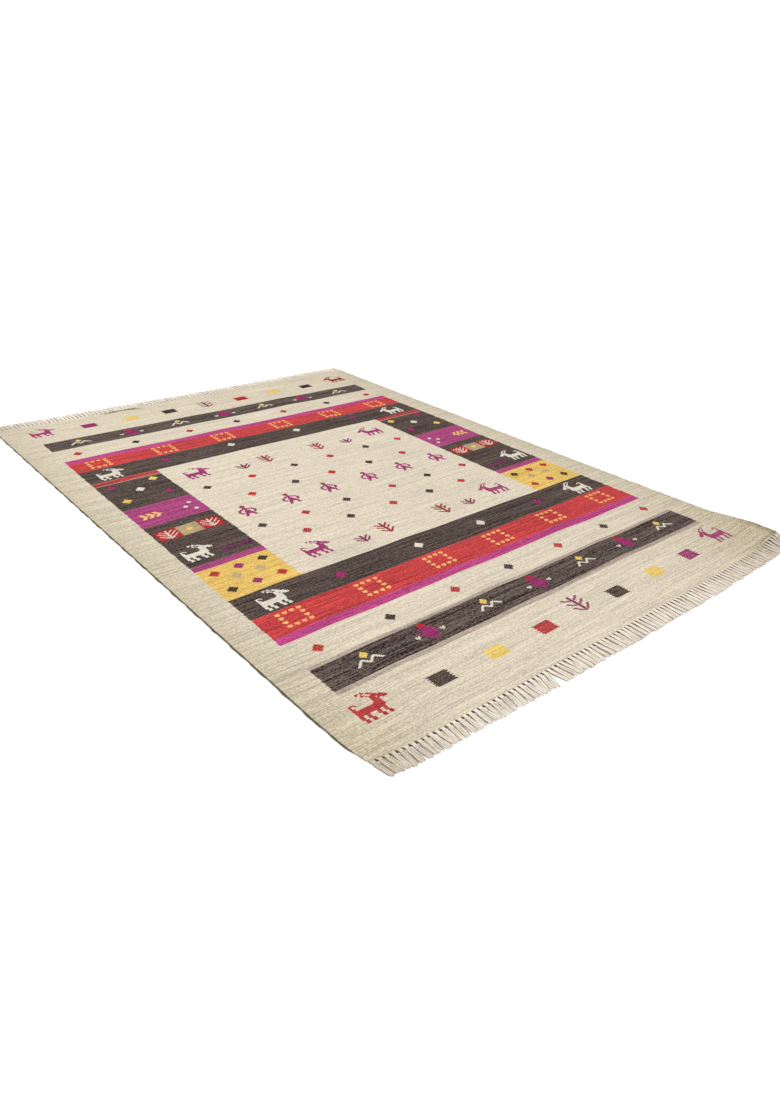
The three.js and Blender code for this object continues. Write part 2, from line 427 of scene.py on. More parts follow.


# Dyes of the wool, as they look on the rug, with colours of painted shade among them, and the share of light
# that the weave's relief sends back past its painted shade between the picks
weave_share = 0.90
cream = yarns(227, 215, 194, 0.22)
# Darker cream for the side rims, also used as painted shade at the far end
cream_at_rim = yarns(205, 194, 169, 0.25)
cream_at_corner = yarns(192, 178, 147, 0.42)
# Painted shade on the curled near right corner, whose side turns away from the lamp
curled_corner_painted_shade = yarns(150, 134, 108, 0.25)
# Painted shadow along the left selvedge's edge
selvedge_painted_shadow = yarns(98, 90, 68, 0.40)
# Painted shadow behind the ripple in the far end
crease_painted_shadow = yarns(106, 92, 72, 0.30)
charcoal = (yarns(82, 65, 60, 0.78)[0], yarns(86, 73, 67, 0.78)[1])
streaky_charcoal = (yarns(78, 64, 60, 0.92)[0], yarns(92, 79, 73, 1.0)[1])
red = yarns(200, 68, 69, 0.44)
faded_red = yarns(178, 68, 66, 0.50)
magenta = yarns(189, 72, 132, 0.44)
column_magenta = yarns(170, 72, 124, 0.44)
yellow = yarns(231, 193, 106, 0.28)
taupe = yarns(181, 165, 151, 0.35)

# Places on the cloth where the colour changes across, as x, and along, as levels
block_left = -0.753
block_right = 0.742
field_left = -0.515
field_right = 0.494
bands = (
    (-0.966, -0.864, streaky_charcoal),
    (-0.737, -0.705, magenta),
    (-0.705, -0.596, red),
    (-0.596, -0.475, charcoal),
    (0.480, 0.605, charcoal),
    (0.605, 0.702, red),
    (0.702, 0.736, magenta),
    (0.860, 0.961, streaky_charcoal),
)

# Edge and softness of each darker area, across as x and along as levels; the crease has two edges each way.
# The areas at the left selvedge, the curled corner, the far end and the crease are painted shade.
selvedge_edge = (-0.8484, 0.0014)
curl_across = (0.832, 0.040)
curl_along = (-1.075, 0.090)
near_end_along = (-0.95, 0.5)
far_end_along = (0.90, 0.80)
crease_across = (dent_x - 0.065, dent_x + 0.070, 0.050)
crease_along = (1.165, 1.180, 0.006)

# How soft the bands' edges are, how far their sides step from pick to pick, and how far their edges drift
edge_softness = 0.0012
stripe_softness = 0.003
side_step = 0.0035
edge_drift = 0.005

# Narrow faded stripes beside the near charcoal band
near_stripes = ((-0.982, -0.966), (-0.864, -0.852))

# Blocks of the two side columns from near to far: from and to along Y, and dye
column_blocks = (
    (-0.475, -0.284, yellow),
    (-0.284, -0.253, column_magenta),
    (-0.253, 0.062, charcoal),
    (0.062, 0.214, column_magenta),
    (0.214, 0.446, charcoal),
    (0.448, 0.480, faded_red),
)


def cloth_material():
    """Each band and block is a mask over x and level that swaps both yarns; its sides step from pick to pick.
    Some last masks paint shade into the wool: a shadow under the left selvedge, shade on the curled corner
    and a shadow behind the ripple."""
    material, shader, x, y = new_material("wool weave", 0.92)
    pair = (y * (0.5 / pick_height)).math("FLOOR")
    step = x.node("ShaderNodeTexWhiteNoise", {"noise_dimensions": "1D"}, {"W": pair})
    stepped_x = x - block_lean * y + side_step * step - side_step / 2
    drift = x.noise(y, (2.5, 1.1), 2.0, 11.0)
    drifted_y = y + edge_drift * drift - edge_drift / 2
    in_block = stepped_x.between(block_left, block_right, edge_softness)
    in_columns = in_block - stepped_x.between(field_left, field_right, edge_softness)
    rim = (x * (1 / half_width)).math("ABSOLUTE").math("POWER", 6.0)
    near_share = (1 - y.after(-half_length / 2, half_length)).math("POWER", near_left_power_along)
    # Painted shadow along the left selvedge's edge, drawn in at the near left corner
    left_selvedge_shadow = 1 - (x - near_left_corner_draw * near_share).after(*selvedge_edge)
    # Painted shade on the curled near right corner
    curl_shade_mask = x.after(*curl_across) * (1 - y.after(*curl_along))
    near_corners = (x * (1 / half_width)).math("ABSOLUTE").math("POWER", 3.0) * (1 - y.after(*near_end_along))
    near_corners = near_corners * (0.35 + 0.65 * x.after(0.0, 1.0))
    # Painted shade: the far end is a little darker, as the light falls off there
    painted_far_shade = 0.45 * y.after(*far_end_along)
    # Painted shadow behind the ripple in the far end
    crease_shadow_mask = x.between(*crease_across) * y.between(*crease_along)
    areas = [(rim, cream_at_rim), (near_corners, cream_at_corner), (painted_far_shade, cream_at_rim)]
    areas += [(drifted_y.between(low, high, edge_softness) * in_block, dye) for low, high, dye in bands]
    areas += [(drifted_y.between(low, high, stripe_softness) * in_block, taupe) for low, high in near_stripes]
    areas += [(y.between(low, high, edge_softness) * in_columns, dye) for low, high, dye in column_blocks]
    areas += [(left_selvedge_shadow, selvedge_painted_shadow), (curl_shade_mask, curled_corner_painted_shade), (crease_shadow_mask, crease_painted_shadow)]
    deep, pale = cream
    for area, dye in areas:
        deep = area.blend(deep, dye[0])
        pale = area.blend(pale, dye[1])
    finish_wool(shader, x, y, yarn_tone(x, y, 0.0).blend(deep, pale))
    return material


cloth = add_mesh("cloth", *cloth_mesh())
cloth.data.materials.append(cloth_material())
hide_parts("rug")
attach(cloth, "root")

# The woven-in figures
# Folk figures laid in with short lengths of coloured wool over the same warps. Each run of stitches
# of a chart is a low rounded bar, two picks high, that follows the cloth and its wefts.
stitch = 2 * pick_height
figure_rise = 0.0005
figure_depth = 0.0008
bar_tip = 0.0005
station_spacing = 0.016
bar_section_y = np.array([-0.50, -0.42, -0.25, 0.0, 0.25, 0.42, 0.50]) * stitch
bar_section_z = np.array([0.0, 0.45, 1.0, 0.6, 1.0, 0.45, 0.0])


def chart_runs(chart, x, level, mirrored=False):
    """Runs of stitches of a chart round its middle: left and right end and level of each."""
    runs = []
    for number, line in enumerate(chart):
        marks = [mark == "#" for mark in (line[::-1] if mirrored else line)]
        ends = np.flatnonzero(np.diff([False, *marks, False])).reshape(-1, 2)
        left = x - len(line) * stitch / 2
        middle = level + ((len(chart) - 1) / 2 - number) * stitch
        runs += [(left + start * stitch, left + stop * stitch, middle) for start, stop in ends]
    return runs


def bar_mesh(runs, rise):
    """One closed bar for each run: a section with two humps, one for each pick, carried along the weft.
    Its height is the cloth's plus the section's, which is flat at the tips; its foot is inside the cloth."""
    runs = np.array(runs)
    stations = np.ceil((runs[:, 1] - runs[:, 0]) / station_spacing).astype(int) + 1
    points = []
    faces = []
    count = 0
    for number in np.unique(stations):
        left, right, level = runs[stations == number].T[:, :, None, None]
        share = np.concatenate(([0.0], np.linspace(0, 1, number), [1.0]))[:, None]
        overhang = np.zeros((number + 2, 1))
        overhang[[0, -1]] = [[-bar_tip], [bar_tip]]
        swell = np.where(overhang == 0, rise, 0.2 * rise)
        foot = (bar_section_z == 0) * figure_depth
        x = left + (right - left) * share + overhang + 0 * bar_section_y
        y = level + bar_section_y - weft_drop(x, level)
        z = cloth_surface(x, y) + bar_section_z * swell - foot
        index = count + np.arange(x.size).reshape(x.shape)
        count += x.size
        around = np.concatenate((index, index[:, :, :1]), axis=2)
        corners = (around[:, :-1, :-1], around[:, 1:, :-1], around[:, 1:, 1:], around[:, :-1, 1:])
        points.append(np.stack((x, y, z), -1).reshape(-1, 3))
        faces += [np.stack(corners, -1).reshape(-1, 4), index[:, 0], index[:, -1, ::-1]]
    return np.concatenate(points), faces


def wool_material(name, dye, seed):
    """Plain wool of one dye with the same streaks and weave as the cloth."""
    material, shader, x, y = new_material(name, 0.92)
    finish_wool(shader, x, y, yarn_tone(x, y, seed).blend(*dye))
    return material


figure_materials = {}


def add_figures(name, dye_name, runs, rise=figure_rise):
    """Joins the bars of like figures in one piece, in the wool of the named dye."""
    if dye_name not in figure_materials:
        seed = 20.0 + len(figure_materials)
        figure_materials[dye_name] = wool_material(f"{dye_name} wool", figure_dyes[dye_name], seed)
    piece = add_mesh(name, *bar_mesh(runs, rise))
    piece.data.materials.append(figure_materials[dye_name])
    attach(piece, "root")


figure_dyes = {
    "white": yarns(238, 230, 214, 0.16),
    "red": yarns(192, 48, 52, 0.36),
    "deep red": yarns(160, 40, 40, 0.36),
    "magenta": yarns(166, 46, 114, 0.36),
    "wine": yarns(136, 38, 88, 0.40),
    "dark": yarns(62, 50, 44, 0.60),
    "yellow": yarns(244, 212, 112, 0.20),
    "peach": yarns(255, 200, 124, 0.24),
    "pale": yarns(196, 174, 134, 0.28),
    "brown": yarns(140, 56, 68, 0.36),
    "plum": yarns(132, 44, 104, 0.45),
}

# The goats
# Long-horned goats with raised tails: white ones on the dark bands, red and magenta ones on the cream.
# Those on the right are laid in the other way round, so that each pair faces the middle.
goat_chart = (
    "........##.#..........",
    "........#..##.........",
    "..........#..##.......",
    "..........##..##......",
    "............#..##.....",
    ".............#####....",
    "###..........#######..",
    "#..#.........###.####.",
    "#............#########",
    "##...........####..###",
    "##..........#####.....",
    "#################.....",
    "#################.....",
    "#################.....",
    "#################.....",
    "################......",
    "##..##....##..##......",
    "##..##....##..##......",
    "##..##....##..##......",
    ".##..##....##..##.....",
    ".##..##....##..##.....",
    ".##..##....##..##.....",
)
goat_places = {
    "white": (
        (-0.648, -0.537), (0.622, -0.537), (-0.652, 0.542), (0.634, 0.540), (-0.685, -0.173), (0.677, -0.173),
    ),
    "magenta": (
        (-0.390, -0.363), (0.367, -0.361), (-0.402, 0.376), (0.380, 0.372), (0.686, -1.049), (-0.702, 1.094),
    ),
    "red": ((-0.719, -1.051),),
    "deep red": ((0.711, 1.098),),
}
for dye_name, places in goat_places.items():
    goat_runs = [run for x, y in places for run in chart_runs(goat_chart, x, y, mirrored=x > 0)]
    add_figures(f"goats_{dye_name}".replace(" ", "_"), dye_name, goat_runs)

# The trees and plants
# Upright trees with three pairs of boughs, and small plants with two, in single runs of red or magenta.
tree_chart = (
    "......##......",
    "##....##....##",
    ".##...##...##.",
    "..###.##.###..",
    "....######....",
    "......##......",
    "##....##....##",
    ".##...##...##.",
    "..###.##.###..",
    "....######....",
    "......##......",
    "##....##....##",
    ".##...##...##.",
    "..##..##..##..",
    "...##.##.##...",
    "....######....",
    "......##......",
)
field_tree_chart = (
    ".....##.....",
    "##...##...##",
    ".##..##..##.",
    "..##.##.##..",
    "...######...",
    "##..####..##",
    ".##..##..##.",
    "..##.##.##..",
    "...######...",
    ".....##.....",
    "##...##...##",
    ".##..##..##.",
    "..##.##.##..",
    "...######...",
    "....####....",
    ".....##.....",
)
plant_chart = (
    ".....##.....",
    "##...##...##",
    ".##..##..##.",
    "..##.##.##..",
    "#..######..#",
    "##..####..##",
    ".##..##..##.",
    "..##.##.##..",
    "...######...",
    ".....##.....",
)
tree_places = ((-0.015, -1.057), (-0.003, 1.077))
field_tree_places = ((-0.140, -0.383), (0.106, -0.383), (-0.134, 0.347), (0.101, 0.348))
plant_places = ((-0.244, -0.400), (0.220, -0.397), (-0.241, 0.330), (0.233, 0.331))
growth_places = (
    ("trees_wine", "wine", tree_chart, tree_places),
    ("trees_red", "deep red", field_tree_chart, field_tree_places),
    ("plants", "wine", plant_chart, plant_places),
)
for name, dye_name, chart, places in growth_places:
    add_figures(name, dye_name, [run for x, y in places for run in chart_runs(chart, x, y)])

# The people
# A row of six small magenta figures across the middle of the field, with brown heads, round arms and
# parted legs. Head and body are laid in with wools of their own.
head_chart = (
    ".##.",
    "####",
    "####",
    ".##.",
)
body_chart = (
    "......##......",
    ".....####.....",
    "...########...",
    ".####.##.####.",
    ".##...##...##.",
    "##...####...##",
    "##...####...##",
    "##...####...##",
    ".##.######.##.",
    ".##.######.##.",
    "...########...",
    "...###..###...",
    "...##....##...",
    "..###....##...",
    "..##.....###..",
)
people_x = (-0.427, -0.260, -0.100, 0.077, 0.244, 0.410)
people_y = -0.012
head_rise = 0.034
body_drop = 0.008
head_runs = [run for x in people_x for run in chart_runs(head_chart, x, people_y + head_rise)]
body_runs = [run for x in people_x for run in chart_runs(body_chart, x, people_y - body_drop)]
add_figures("people_heads", "brown", head_runs)
add_figures("people_bodies", "magenta", body_runs)

# The birds and beetles
# Along each narrow charcoal band a bird with a yellow head and white wings takes turns with a magenta
# beetle with a red head and white feelers. Each part is laid in with its own wool.
wing_chart = (
    "....##......##....",
    "...####....####...",
    "..##..##..##..##..",
    ".##....####....##.",
    "##......##......##",
)
beetle_chart = (
    ".....#####.....",
    "...#.#####.#...",
    ".....#####.....",
    ".#.#######.#.#.",
    "....#######....",
    "..#.#######.#..",
    "#.###########.#",
    "....#######....",
    ".#.#########.#.",
    "....#######....",
    "...#.#####.#...",
    ".....#####.....",
    "......###......",
    "......###......",
)
beetle_head_chart = (
    "...#...",
    "..###..",
    ".#####.",
    ".#####.",
    "..###..",
)
feeler_chart = (
    "#.#",
    "###",
    ".#.",
)


def diamond_chart(half_rows):
    """Rows of a diamond: the odd widths 1, 3, 5 and so on up to the middle, and back down."""
    widths = [2 * row + 1 for row in range(half_rows)]
    return [("#" * width).center(widths[-1], ".") for width in widths + widths[::-1]]


narrow_band_rows = (
    (-0.911, (-0.621, -0.427, -0.212, -0.013, 0.197, 0.405, 0.606)),
    (0.910, (-0.624, -0.419, -0.211, 0.000, 0.198, 0.402, 0.607)),
)

# Parts of a bird and of a beetle: piece, chart, and place beside the middle of the animal
bird_parts = (
    ("bird_wings", wing_chart, 0, -0.006),
    ("bird_heads", diamond_chart(3), 0, 0.018),
)
beetle_parts = (
    ("beetle_bodies", beetle_chart, 0, -0.004),
    ("beetle_heads", beetle_head_chart, 0, 0.034),
    ("beetle_feelers", feeler_chart, -0.041, -0.009),
    ("beetle_feelers", feeler_chart, 0.041, -0.009),
)
part_dyes = {
    "bird_wings": "white",
    "bird_heads": "yellow",
    "beetle_bodies": "magenta",
    "beetle_heads": "red",
    "beetle_feelers": "white",
}
part_runs = {name: [] for name in part_dyes}
for y, row_x in narrow_band_rows:
    for number, x in enumerate(row_x):
        for name, chart, beside, above in (bird_parts, beetle_parts)[number % 2]:
            part_runs[name] += chart_runs(chart, x + beside, y + above)
for name, runs in part_runs.items():
    add_figures(name, part_dyes[name], runs)

# The diamonds
# Small diamonds in rows on the cream, on the dark bands and in the side columns, in red, charcoal,
# magenta, yellow, white and a pale brown. Each row gives its level, its dyes in turn and its places along X.
cream_rows = (
    (-0.799, ("red", "dark"), (-0.690, -0.462, -0.229, -0.013, 0.213, 0.443, 0.671)),
    (0.794, ("red", "dark"), (-0.677, -0.450, -0.222, -0.005, 0.229, 0.459, 0.693)),
    (-0.248, ("red", "dark"), (-0.350, -0.177, 0.002, 0.169, 0.327)),
    (-0.135, ("dark", "red"), (-0.443, -0.280, -0.110, 0.092, 0.261, 0.438)),
    (0.095, ("red", "dark"), (-0.344, -0.166, -0.009, 0.165, 0.334)),
    (0.233, ("dark", "red"), (-0.440, -0.263, -0.081, 0.082, 0.258, 0.421)),
)
block_rows = (
    (-0.539, ("magenta", "white", "white", "magenta"), (-0.433, -0.135, 0.133, 0.413)),
    (0.555, ("magenta", "white", "white", "magenta"), (-0.443, -0.164, 0.141, 0.430)),
    (-0.322, ("red", "magenta", "dark", "dark", "red", "red"), (-0.713, -0.635, -0.556, 0.533, 0.616, 0.698)),
    (-0.368, ("pale", "pale", "pale", "pale"), (-0.669, -0.591, 0.579, 0.660)),
    (
        -0.428,
        ("dark", "magenta", "red", "red", "magenta", "dark"),
        (-0.715, -0.636, -0.555, 0.529, 0.614, 0.695),
    ),
    (0.283, ("yellow", "magenta", "magenta", "yellow"), (-0.706, -0.555, 0.543, 0.690)),
    (0.351, ("white", "white"), (-0.629, 0.616)),
    (0.415, ("magenta", "yellow", "yellow", "magenta"), (-0.705, -0.554, 0.538, 0.691)),
)
small_diamonds = (
    (-0.547, 0.159), (-0.572, 0.131), (-0.547, 0.103), (0.533, 0.157), (0.557, 0.129), (0.533, 0.101),
)
diamond_runs = {dye_name: [] for dye_name in ("red", "dark", "magenta", "yellow", "white", "pale")}
for y, dye_names, row_x in cream_rows + block_rows:
    for number, x in enumerate(row_x):
        dye_name = dye_names[number % len(dye_names)]
        diamond_runs[dye_name] += chart_runs(diamond_chart(4), x, y)
for x, y in small_diamonds:
    diamond_runs["white"] += chart_runs(diamond_chart(2), x, y)
for dye_name, runs in diamond_runs.items():
    add_figures(f"diamonds_{dye_name}", dye_name, runs)

# The blocks
# Plain oblongs with stepped sides in a row across each end, and the panels in the side columns: two red
# squares beside a pale one. A white plant is laid over each red square, a yellow diamond over the pale one.
oblong_chart = ["#############.", ".#############"] * 5
panel_chart = ["#" * 16] * 15
end_oblongs = {
    "dark": ((-0.533, -1.079), (0.129, -1.085), (-0.177, 1.069), (0.528, 1.071)),
    "yellow": ((-0.354, -1.082), (0.314, -1.084), (-0.348, 1.073), (0.352, 1.073)),
    "red": ((-0.173, -1.084), (0.170, 1.064)),
    "magenta": ((0.495, -1.081), (-0.524, 1.075)),
}
for dye_name, places in end_oblongs.items():
    oblong_runs = [run for x, y in places for run in chart_runs(oblong_chart, x, y)]
    add_figures(f"oblongs_{dye_name}", dye_name, oblong_runs)
red_panels = ((-0.706, -0.020), (-0.563, -0.020), (0.544, -0.020), (0.695, -0.020))
pale_panels = ((-0.635, -0.020), (0.619, -0.020))
panel_plant_chart = (
    "......#......",
    "..#...#...#..",
    "...#..#..#...",
    "#...#.#.#...#",
    ".#...###...#.",
    "..#...#...#..",
    "...#..#..#...",
    "#...#.#.#...#",
    ".#...###...#.",
    "..#...#...#..",
    "...##.#.##...",
    "....#####....",
    "......#......",
)
overlay_rise = 2 * figure_rise
add_figures("panels_red", "red", [run for x, y in red_panels for run in chart_runs(panel_chart, x, y)])
add_figures("panels_pale", "pale", [run for x, y in pale_panels for run in chart_runs(panel_chart, x, y)])
plant_runs = [run for x, y in red_panels for run in chart_runs(panel_plant_chart, x, y)]
add_figures("panel_plants", "white", plant_runs, overlay_rise)
centre_runs = [run for x, y in pale_panels for run in chart_runs(diamond_chart(3), x, y)]
add_figures("panel_diamonds", "yellow", centre_runs, overlay_rise)

# The dotted squares
# Six squares of twelve peach-coloured dots along each red band, four dots to a side.
dot_chart = (
    "###",
    "###",
    ".#.",
)
dot_spacing_across = 0.0222
dot_spacing_along = 0.0208
square_rows = (
    (-0.648, (-0.658, -0.402, -0.147, 0.102, 0.360, 0.626)),
    (0.655, (-0.652, -0.396, -0.145, 0.127, 0.380, 0.634)),
)
dot_offsets = [
    (dot_spacing_across * (column - 1.5), dot_spacing_along * (row - 1.5))
    for column in range(4)
    for row in range(4)
    if column in (0, 3) or row in (0, 3)
]
dot_runs = []
for y, row_x in square_rows:
    for x in row_x:
        for offset_x, offset_y in dot_offsets:
            dot_runs += chart_runs(dot_chart, x + offset_x, y + offset_y)
add_figures("dotted_squares", "peach", dot_runs)

# The wheat sprays and chains
# In the side columns an ear of wheat lies along the weft on the magenta block, and a chain of three
# plum-coloured lozenges runs beside each goat on the charcoal.
wheat_chart = (
    "###..###..###...",
    ".##...##...##...",
    ".###..###..###..",
    "..###..###..###.",
    "...###..###..###",
    "..###..###..###.",
    ".###..###..###..",
    ".##...##...##...",
    "###..###..###...",
)
chain_chart = (
    "...#.......#.......#...",
    "..#.#.....#.#.....#.#..",
    ".#...#...#...#...#...#.",
    "#..#..#.#..#..#.#..#..#",
    "..###....###.....###...",
    "#..#..#.#..#..#.#..#..#",
    ".#...#...#...#...#...#.",
    "..#.#.....#.#.....#.#..",
    "...#.......#.......#...",
)
wheat_runs = chart_runs(wheat_chart, -0.689, 0.136) + chart_runs(wheat_chart, 0.680, 0.130, mirrored=True)
chain_runs = chart_runs(chain_chart, -0.578, -0.207) + chart_runs(chain_chart, 0.566, -0.202)
add_figures("wheat_sprays", "peach", wheat_runs)
add_figures("chains", "plum", chain_runs)

# The fringes
# The cotton warp ends past the last pick, which a flat cord locks; its dark colour is painted shadow, the
# shade between the tassels' roots. The ends of a tassel leave the cloth side by side, are held by one flat
# knot and lie loose on the floor from there, close to the next tassel.
tassel_count = 104
tassel_reach = {-1: 0.055, 1: 0.062}
yarns_per_tassel = 9
yarn_radius = 0.0010
yarn_sides = 6
yarn_twist = 0.0042
root_margin = 0.0085
knot_middle = 0.0066
knot_half_length = 0.0032
knot_half_width = 0.0055
knot_half_height = 0.0023
cord_place = 0.0034
cord_half_width = 0.0027
cord_half_height = 0.0010
cord_stations = 160
cord_sides = 8
knot_stations = 7
knot_sides = 8
knot_taper = 0.93
knot_sizes = (0.90, 1.06)
knot_lift_share = 0.94

# Places across a tassel, as shares of its half spread: the two outer yarns, and the reach of the others
outer_place = 1.15
inner_reach = 0.84

# Chance in the tassels: roots and leans, places across, bends, tips and lengths of yarns. Then the yarns'
# wriggle, how much shorter the outer ones are, and the layers of the others, from the lowest to the top
root_chance = 0.0006
lean_chance = 0.0010
place_chance = 0.07
bend_chance = 0.0013
tip_chance = 0.0010
length_chance = 0.0012
wriggle_height = 0.0004
wriggle_lengths = (0.020, 0.045)
outer_shortfall = 0.002
lowest_layer = 0.15
top_layer_rise = 2.2 * yarn_radius

# Painted shade of the outer and the lowest inner yarns, and the share of it that is gone at the tips
outer_shade = 0.9
inner_shade = 0.35
tip_fade = 0.3

# How the tassels lean sideways: height of each wave, length along X and phase
lean_waves = ((0.0034, 0.148, 0.4), (0.0026, 0.067, 1.9), (0.0020, 0.610, 4.2))

# Tassels are longer past an x: that x, the way from there over which they grow, and their growth
tassel_growth = {-1: (-0.550, 0.200, 0.0050), 1: (-0.100, -0.250, 0.0080)}

# Where the near tassels part to both sides: middle and reach along X, and push at the middle
near_partings = ((-0.322, 0.090, 0.0150), (-0.860, 0.150, 0.0080))

# Along a yarn from the cloth to its tip: distance, half spread of the tassel, share of the lean,
# share of the root's lift that is left, and height of the yarn's bed over the floor
yarn_course = np.array([
    (-0.0020, 0.0062, 0.00, 1.00, 0.0010),
    (0.0015, 0.0058, 0.00, 1.00, 0.0010),
    (0.0045, 0.0045, 0.00, 0.97, 0.0012),
    (0.0070, 0.0041, 0.00, 0.92, 0.0012),
    (0.0100, 0.0046, 0.03, 0.84, 0.0009),
    (0.0150, 0.0054, 0.10, 0.62, 0.0003),
    (0.0220, 0.0060, 0.24, 0.34, 0.0000),
    (0.0300, 0.0063, 0.42, 0.12, 0.0000),
    (0.0380, 0.0064, 0.62, 0.02, 0.0000),
    (0.0460, 0.0065, 0.82, 0.00, 0.0000),
    (0.0515, 0.0064, 0.93, 0.00, 0.0000),
    (0.0550, 0.0062, 1.00, 0.00, 0.0000),
])


def tube_mesh(paths, half_widths, half_heights, sides):
    """Closed tubes round paths: at each station an upright oval, square to the path as seen from above.
    Marks each point with its distance along the path, and the cosine and sine of its turn round it."""
    ahead = np.gradient(paths[..., :2], axis=1)
    ahead = ahead / np.linalg.norm(ahead, axis=-1, keepdims=True)
    turn = np.arange(sides) * 2 * np.pi / sides
    sideways = np.stack((ahead[..., 1], -ahead[..., 0], np.zeros(ahead.shape[:-1])), -1)
    beside = (np.cos(turn) * half_widths[..., None])[..., None] * sideways[..., None, :]
    above = (np.sin(turn) * half_heights[..., None])[..., None] * np.array([0.0, 0.0, 1.0])
    points = paths[..., None, :] + beside + above
    steps = np.linalg.norm(np.diff(paths, axis=1), axis=-1)
    distance = np.concatenate((np.zeros((len(paths), 1)), np.cumsum(steps, axis=1)), axis=1)
    shape = points.shape[:-1]
    parts = (distance[..., None], np.cos(turn), np.sin(turn))
    marks = np.stack([np.broadcast_to(part, shape) for part in parts], -1)
    index = np.arange(points[..., 0].size).reshape(shape)
    around = np.concatenate((index, index[..., :1]), axis=-1)
    corners = (around[:, :-1, :-1], around[:, :-1, 1:], around[:, 1:, 1:], around[:, 1:, :-1])
    faces = [np.stack(corners, -1).reshape(-1, 4), index[:, 0, ::-1], index[:, -1]]
    return points.reshape(-1, 3), faces, marks.reshape(-1, 3)


def tassel_roots(side):
    """Even places of the tassels along an end, from corner to corner."""
    left = -half_width + near_left_corner_draw * (side < 0) + root_margin
    return np.linspace(left, half_width - root_margin, tassel_count)


def tassel_lean(side, root):
    """How far each tip lies beside its root: the slow waves, and the partings' pushes, which fade with
    the distance from their middles."""
    lean = sum_of_waves(lean_waves, root, side)
    for middle, reach, push in near_partings:
        away = (root - middle) / reach
        lean = lean + push * np.sign(away) * np.clip(1 - np.abs(away), 0, 1) * (side < 0)
    return lean


def fringe_mesh(side, seed):
    """All yarns and knots of one end. Across the tassel a yarn lies at its share of the spread, the two outer
    ones lowest and furthest out; each yarn bends, rises and ends a little by chance. The painted shade marks
    the yarns that lie under the others: most for the outer ones, and a little less at the tips."""
    chance = np.random.default_rng(seed)
    root = tassel_roots(side) + chance.normal(0, root_chance, tassel_count)
    lean = tassel_lean(side, root) + chance.normal(0, lean_chance, tassel_count)
    first, last = tassel_roots(side)[[0, -1]]
    lean = np.clip(root + lean, first, last) - root
    distance, spread, lean_share, lift_share, bed = yarn_course.T
    inner_places = np.linspace(-inner_reach, inner_reach, yarns_per_tassel - 2)
    place = np.array([-outer_place, *inner_places, outer_place])
    outer = np.abs(place) > 1
    across = place + chance.normal(0, place_chance, (tassel_count, yarns_per_tassel))
    share = (distance / distance[-1]).clip(0)
    bend = chance.normal(0, bend_chance, across.shape)[..., None] * share ** 2
    wriggle_length = chance.uniform(*wriggle_lengths, across.shape)[..., None]
    wriggle_phase = chance.uniform(0, 2 * np.pi, across.shape)[..., None]
    wriggle = wriggle_height * np.sin(2 * np.pi * distance / wriggle_length + wriggle_phase)
    wriggle = wriggle * (distance > knot_middle)
    x = root[:, None, None] + across[..., None] * spread + lean[:, None, None] * lean_share + bend + wriggle
    clothes_end = end_line(side, root)
    grow_from, grow_over, growth = tassel_growth[side]
    grown = growth * np.clip((root - grow_from) / grow_over, 0, 1)
    tip = end_reach(side, root) + tassel_reach[side] + grown + chance.normal(0, tip_chance, tassel_count)
    length = (tip - np.abs(clothes_end))[:, None] + chance.normal(0, length_chance, across.shape)
    length = length - outer_shortfall * outer
    past_knot = (distance - knot_middle) * ((length - knot_middle) / (distance[-1] - knot_middle))[..., None]
    reach = np.where(distance > knot_middle, knot_middle + past_knot, distance)
    y = clothes_end[:, None, None] + side * reach
    lift = cloth_lift(root, clothes_end)
    layer = chance.uniform(lowest_layer, 1, across.shape) * np.where(outer, 0, 1)
    rise = top_layer_rise * layer[..., None] * np.sin(np.pi * share ** 0.8)
    z = yarn_radius + bed + lift[:, None, None] * lift_share + rise
    yarn_paths = np.stack((x, y, z), -1).reshape(-1, len(distance), 3)
    radii = np.full(yarn_paths.shape[:-1], yarn_radius)
    radii[:, -1] *= 0.6
    knot_share = np.linspace(-1, 1, knot_stations)
    knot_y = clothes_end[:, None] + side * (knot_middle + knot_half_length * knot_share)
    knot_z = knot_half_height + knot_lift_share * lift[:, None] + 0 * knot_y
    knot_paths = np.stack((root[:, None] + 0 * knot_y, knot_y, knot_z), -1)
    swelling = np.sqrt(1 - knot_taper * knot_share ** 2) * chance.uniform(*knot_sizes, (tassel_count, 1))
    yarn_tubes = tube_mesh(yarn_paths, radii, radii, yarn_sides)
    knot_tubes = tube_mesh(knot_paths, knot_half_width * swelling, knot_half_height * swelling, knot_sides)
    points = np.concatenate((yarn_tubes[0], knot_tubes[0]))
    faces = yarn_tubes[1] + [group + len(yarn_tubes[0]) for group in knot_tubes[1]]
    # Painted shade of the yarns that lie under the others, carried by the yarn_shade attribute
    painted_under_shade = np.where(outer, outer_shade, inner_shade * (1 - layer) ** 2)[..., None] * (1 - tip_fade * share)
    shade = np.concatenate((np.repeat(painted_under_shade.ravel(), yarn_sides), np.zeros(len(knot_tubes[0]))))
    return points, faces, np.concatenate((yarn_tubes[2], knot_tubes[2])), shade


def cord_mesh(side):
    """The flat cord beside the last pick, dark with painted shadow: one oval tube along the end line, as high
    as the cloth lies there."""
    first, last = tassel_roots(side)[[0, -1]]
    x = np.linspace(first - root_margin / 2, last + root_margin / 2, cord_stations)
    y = end_line(side, x)
    path = np.stack((x, y + side * cord_place, cloth_lift(x, y) + cord_half_height), -1)[None]
    flat = np.ones(path.shape[:-1])
    return tube_mesh(path, cord_half_width * flat, cord_half_height * flat, cord_sides)


# Edge and softness along X of the darker yarns at the left corners and at the near right one
darkening_left = (-0.725, 0.200)
darkening_right = (0.550, 0.300)


